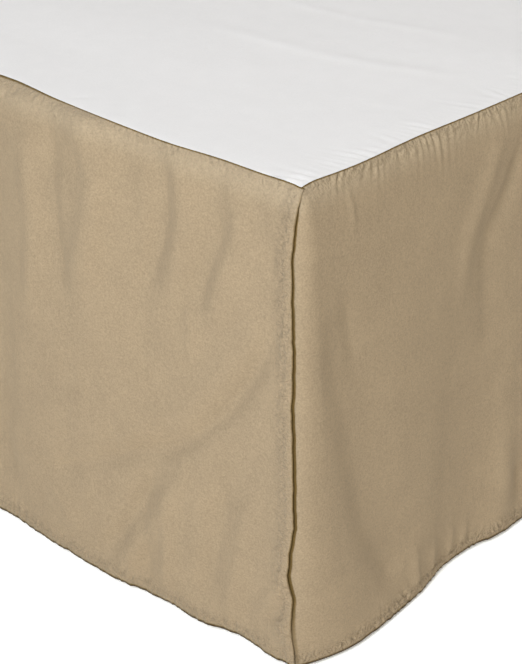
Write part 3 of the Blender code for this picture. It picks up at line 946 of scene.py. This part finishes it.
def ticking_cloth(name, colour):
    """Mattress ticking: off-white cloth with thin pale upright stripes."""
    made = Nodes(name)
    yarn = made.noise(700)
    wave = made.add("ShaderNodeTexWave", wave_type="BANDS", bands_direction="DIAGONAL")
    wave.inputs["Scale"].default_value = STRIPE_SCALE
    upright = made.add("ShaderNodeMapping")
    upright.inputs["Scale"].default_value = (1, 1, 0)
    made.link(made.place, upright.inputs["Vector"])
    made.link(upright.outputs["Vector"], wave.inputs["Vector"])
    striped = made.mix(wave.outputs["Fac"], colour, STRIPE, stops=(0.90, 0.97))
    fine = made.mix(yarn, shade(WHITE, 0.94), shade(WHITE, 1.03))
    made.colour(made.times(striped, fine))
    made.bump(yarn, 0.2 * MM, strength=0.5)
    return made.set(Roughness=0.85, Sheen_Weight=0.1)


# The pieces

def build_panel(name, grid, marks, lines, cut, cloth, stitching):
    """A drop panel and its stitches; the length it is cut to is not used."""
    panel = cloth_piece("skirt_" + name, grid, cloth, marks)
    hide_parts("panel_" + name)
    sewn = build_stitches("stitches_" + name, grid, lines, stitching)


def build_foot(rows, *surfaces):
    along = spread(FOOT_SPANS)
    from_side = np.minimum(along, FOOT_WIDTH - along)[None, :]
    hem = nearest(hem_distance(rows), HEM_BAND)
    near = nearest(along, SIDE_BAND)
    far = nearest(along, FOOT_WIDTH - SIDE_BAND)
    down = slice(FIRST_STITCHED_ROW, hem)
    lines = [np.s_[hem, near:far], np.s_[down, near], np.s_[down, far]]
    build_panel("foot", foot_grid(along, rows), finish_marks(rows, from_side), lines, FOOT_CUT,
                *surfaces)


def build_side(name, side, spans, seed, rows, *surfaces):
    """A side panel: side is 1 for the right one, whose columns run from the head, or -1."""
    places = spread(spans)
    from_side = side_edge(places)[:, ::-side]
    from_slit = slit_depth(rows, places)[:, ::-side]
    hem = nearest(hem_distance(rows), HEM_BAND)
    column = nearest(from_side, SIDE_BAND)
    hemmed = slice(column, None) if side > 0 else slice(column)
    lines = [np.s_[hem, hemmed], np.s_[FIRST_STITCHED_ROW:hem, column]]
    build_panel(name, side_grid(side, places, rows, seed),
                finish_marks(rows, from_side, from_slit), lines, SIDE_CUT, *surfaces)


def deck_relief(from_right, from_left, from_foot):
    """Faint creases and waves of the platform, and its puckers along the seams."""
    from_side = np.minimum(from_right, from_left)
    lift = crease_height(DECK_CREASES, from_right, from_foot)
    calm = smooth(np.minimum(from_side, from_foot) / DECK_CALM)
    lift = lift + wave_height(DECK_WAVES, DECK_SEED, from_right, from_foot) * calm
    lift = lift + pucker_height(DECK_PUCKER, from_foot, from_side, DECK_PUCKER_REACH,
                                DECK_SEED + DECK_SIDE_SEED)
    lift = lift + pucker_height(DECK_FOOT_PUCKER, from_right, from_foot, DECK_PUCKER_REACH,
                                DECK_SEED + DECK_FOOT_SEED)
    return np.maximum(lift, DECK_LOWEST)


def build_deck(cotton):
    """The platform: its edge follows the seams and dips into them."""
    x = spread(DECK_ACROSS)[None, :] - SEAM_X
    y = spread(DECK_ALONG)[:, None] - SEAM_Y
    from_right = SEAM_X - x
    from_left = SEAM_X + x
    from_foot = SEAM_Y + y
    gap = SEAM_HALF_GAP + SEAM_INSIDE
    pull_foot = (eased(FOOT_SEAM, from_right) - gap) * np.exp(-from_foot / DECK_PULL)
    pull_side = eased(SIDE_SEAM, from_foot) - gap
    pull_right = pull_side * np.exp(-from_right / DECK_PULL)
    pull_left = pull_side * np.exp(-from_left / DECK_PULL)
    grid_x = x + pull_right - pull_left
    grid_y = y - pull_foot
    over = np.maximum(np.maximum(grid_x - SEAM_X, -SEAM_X - grid_x), -SEAM_Y - grid_y)
    dip = edge_drop(over)
    edge = np.minimum(np.minimum(from_right, from_left), from_foot)
    height = TOP_MID_Z - dip - SEAM_DIP * np.exp(-(edge / SEAM_DIP_WIDTH) ** 2)
    height = height - corner_dip(np.hypot(from_right, from_foot))
    height = height - corner_dip(np.hypot(from_left, from_foot))
    height = height + deck_relief(from_right, from_left, from_foot)
    grid = np.stack(np.broadcast_arrays(grid_x, grid_y, height), axis=-1)
    deck = cloth_piece("skirt_deck", grid[::-1], cotton, {})
    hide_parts("deck")


def stitch_line(points, normals):
    """Ends and outward direction of each stitch along a line of points on a cloth."""
    steps = np.linalg.norm(np.diff(points, axis=0), axis=1)
    run = np.concatenate([[0], np.cumsum(steps)])
    centres = np.arange(STITCH_PITCH, run[-1] - STITCH_PITCH, STITCH_PITCH)
    half = STITCH_LENGTH / 2

    def at(values, where):
        return np.stack([np.interp(where, run, values[:, axis]) for axis in range(3)], axis=-1)

    return at(points, centres - half), at(points, centres + half), at(normals, centres)


def stitch_mesh(starts, ends, outs):
    """Points and faces of the stitches: small round bars that dip into the cloth at both ends."""
    along = ends - starts
    along /= np.linalg.norm(along, axis=1, keepdims=True)
    outs = outs / np.linalg.norm(outs, axis=1, keepdims=True)
    across = np.cross(along, outs)
    turns = np.linspace(0, 2 * math.pi, STITCH_SIDES, endpoint=False)
    rings = []
    for share, rise, size in STITCH_RINGS:
        middle = lerp(starts, ends, share) + outs * (CLOTH / 2 + rise * STITCH_RADIUS)
        round_out = np.cos(turns)[None, :, None] * outs[:, None, :]
        round_across = np.sin(turns)[None, :, None] * across[:, None, :]
        rings.append(middle[:, None, :] + (round_out + round_across) * size * STITCH_RADIUS)
    points = np.stack(rings, axis=1).reshape(-1, 3)
    index = np.arange(len(points)).reshape(len(starts), len(STITCH_RINGS), STITCH_SIDES)
    after = np.roll(index, -1, axis=2)
    quads = np.stack([index[:, :-1], after[:, :-1], after[:, 1:], index[:, 1:]], axis=-1)
    caps = index[:, 0, ::-1].tolist() + index[:, -1].tolist()
    return points.tolist(), quads.reshape(-1, 4).tolist() + caps


def build_stitches(name, grid, lines, surface):
    """The stitches of a panel's hems: each line a row or a column of its grid."""
    normals = grid_normals(grid)
    runs = [stitch_line(grid[line], normals[line]) for line in lines]
    starts, ends, outs = (np.concatenate(part) for part in zip(*runs))
    points, faces = stitch_mesh(starts, ends, outs)
    return new_piece(name, points, faces, surface)


def nearest(values, goal):
    return int(np.argmin(np.abs(np.ravel(values) - goal)))


def ring_points(half_x, half_y, radius, inset, middle_y):
    """Closed loop of a rectangle with round corners, drawn in by an inset."""
    radius = max(radius - inset, LEAST_RADIUS)
    reach_x = half_x - inset - radius
    reach_y = half_y - inset - radius
    corners = ((1, 1, 0), (-1, 1, 90), (-1, -1, 180), (1, -1, 270))
    points = []
    for sign_x, sign_y, start in corners:
        for step in range(CORNER_POINTS):
            angle = math.radians(start + 90 * step / (CORNER_POINTS - 1))
            points.append((sign_x * reach_x + radius * math.cos(angle),
                           middle_y + sign_y * reach_y + radius * math.sin(angle)))
    whole = []
    for one, two in zip(points, points[1:] + points[:1]):
        count = max(1, round(math.dist(one, two) / RING_STEP))
        whole += [lerp(np.array(one), np.array(two), part / count) for part in range(count)]
    return np.array(whole)


def build_box_spring(ticking):
    """Upholstered base: its sides a little full between the two piped edges, its top flat."""
    low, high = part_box("box_spring")
    half_x = (high[0] - low[0]) / 2
    half_y = (high[1] - low[1]) / 2
    middle_y = (high[1] + low[1]) / 2
    rings = []
    for inset, share, waviness in SPRING_PROFILE:
        loop = ring_points(half_x, half_y, SPRING_RADIUS, inset * MM, middle_y)
        spots = loop.sum(axis=1)
        ripple = noise(SPRING_SEED, spots, 0 * spots + share, SPRING_WAVE, SPRING_WAVE_RISE)
        outward = loop / np.linalg.norm(loop, axis=1, keepdims=True)
        loop = loop - outward * (1 + ripple[:, None]) * waviness * MM
        height = np.full((len(loop), 1), lerp(low[2], high[2], share))
        rings.append(np.concatenate([loop, height], axis=1))
    count = min(len(ring) for ring in rings)
    rings = [ring[np.linspace(0, len(ring) - 1, count).round().astype(int)] for ring in rings]
    points = np.concatenate(rings).tolist()
    spring = new_piece("spring_base", points, ring_faces(len(rings), count), ticking)
    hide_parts("box_spring")


def build_lathe(name, node, profile, surface):
    """A turned piece in a node's place: each row of its profile a share of radius and of height."""
    low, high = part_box(node)
    middle = ((low[0] + high[0]) / 2, (low[1] + high[1]) / 2)
    radius = (high[0] - low[0]) / 2
    turns = np.linspace(0, 2 * math.pi, LATHE_SIDES, endpoint=False)
    points = [(middle[0] + width * radius * math.cos(turned),
               middle[1] + width * radius * math.sin(turned), lerp(low[2], high[2], share))
              for width, share in profile for turned in turns]
    faces = ring_faces(len(profile), LATHE_SIDES)
    piece = new_piece(name, points, faces, surface, sharp=35)
    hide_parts(node)


def give_material(node, surface):
    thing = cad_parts[node]
    thing.data.materials.clear()
    thing.data.materials.append(surface)


def build_base(ticking, steel, plastic):
    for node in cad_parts:
        if node.startswith(("rail_", "cross_")):
            give_material(node, steel)
        elif node.startswith("leg_"):
            build_lathe("steel_" + node, node, LEG_PROFILE, steel)
        elif node.startswith("glide_"):
            build_lathe("plastic_" + node, node, GLIDE_PROFILE, plastic)
    build_box_spring(ticking)


# Stage

def far_glow(made):
    """Glow of the floor: soft near the bed, and brighter far from it."""
    length = made.add("ShaderNodeVectorMath", operation="LENGTH")
    made.link(made.place, length.inputs[0])
    ramp = made.add("ShaderNodeMapRange", interpolation_type="SMOOTHSTEP")
    for name, value in (("From Min", GLOW_NEAR), ("From Max", GLOW_FAR),
                        ("To Min", FLOOR_GLOW), ("To Max", FAR_GLOW)):
        ramp.inputs[name].default_value = value
    made.link(length.outputs["Value"], ramp.inputs["Value"])
    return ramp.outputs["Result"]


def build_floor():
    made = Nodes("floor_white")
    made.colour(made.mix(made.noise(30), *FLOOR_COLOURS))
    made.set(Roughness=0.9, Emission_Color=(*GLOW_COLOUR, 1))
    made.link(far_glow(made), made.shader.inputs["Emission Strength"])
    size = FLOOR_SIZE
    points = [(-size, -size, 0), (size, -size, 0), (size, size, 0), (-size, size, 0)]
    mesh = bpy.data.meshes.new("floor")
    mesh.from_pydata(points, [], [(0, 1, 2, 3)])
    mesh.materials.append(made.material)
    new_object("floor", mesh)


def area_light(name, spot, aim, size, power, colour):
    data = bpy.data.lights.new(name, "AREA")
    data.shape = "DISK"
    data.size = size
    data.energy = power
    data.color = colour
    light = new_object(name, data)
    light.location = spot
    light.visible_camera = False
    light.rotation_euler = (Vector(aim) - Vector(spot)).to_track_quat("-Z", "Y").to_euler()


def build_lights():
    world = bpy.data.worlds.new("studio")
    world.use_nodes = True
    world.node_tree.nodes["Background"].inputs["Color"].default_value = (*WHITE, 1)
    world.cycles_visibility.diffuse = False
    world.cycles_visibility.glossy = False
    bpy.context.scene.world = world
    for row in LIGHTS:
        area_light(*row)


def build_camera():
    turn_z, tilt, roll = map(math.radians, (CAMERA_TURN, CAMERA_TILT, CAMERA_ROLL))
    ahead = Vector((-math.sin(turn_z) * math.cos(tilt), math.cos(turn_z) * math.cos(tilt),
                    -math.sin(tilt)))
    level = ahead.cross(Vector((0, 0, 1))).normalized()
    above = level.cross(ahead)
    right = level * math.cos(roll) + above * math.sin(roll)
    up = above * math.cos(roll) - level * math.sin(roll)
    data = bpy.data.cameras.new("camera")
    data.sensor_width = SENSOR
    data.lens = CAMERA_FOCAL / PHOTO_HEIGHT * SENSOR
    data.clip_start = CAMERA_NEAR
    camera = new_object("camera", data)
    axes = Matrix((right, up, -ahead)).transposed().to_4x4()
    camera.matrix_world = Matrix.Translation(Vector(CAMERA_PLACE)) @ axes
    bpy.context.scene.camera = camera


bpy.context.scene.view_settings.view_transform = "Standard"
build_camera()
khaki = brushed_cloth("brushed_khaki", KHAKI)
white = plain_cotton("white_cotton", COTTON)
ticking = ticking_cloth("ticking", TICKING)
steel = grained("black_steel", STEEL, shades=(0.85, 1.25), grain=(35, 4, 0.65), relief=(420,),
                depth=0.05 * MM, strength=0.4, Roughness=0.42, Specular_IOR_Level=0.5)
plastic = grained("black_plastic", PLASTIC, shades=(0.85, 1.2), grain=(800,), relief=(800,),
                  depth=0.05 * MM, strength=0.5, Roughness=0.55)
stitching = grained("khaki_thread", KHAKI_THREAD, shades=(0.85, 1.1), grain=(1500, 1),
                    relief=(1500, 1), depth=0.1 * MM, strength=0.5, Roughness=0.7)
rows = row_shares()
build_foot(rows, khaki, stitching)
build_side("right", 1, RIGHT_SPANS, RIGHT_SEED, rows, khaki, stitching)
build_side("left", -1, LEFT_SPANS, LEFT_SEED, rows, khaki, stitching)
build_deck(white)
build_base(ticking, steel, plastic)
build_floor()
build_lights()
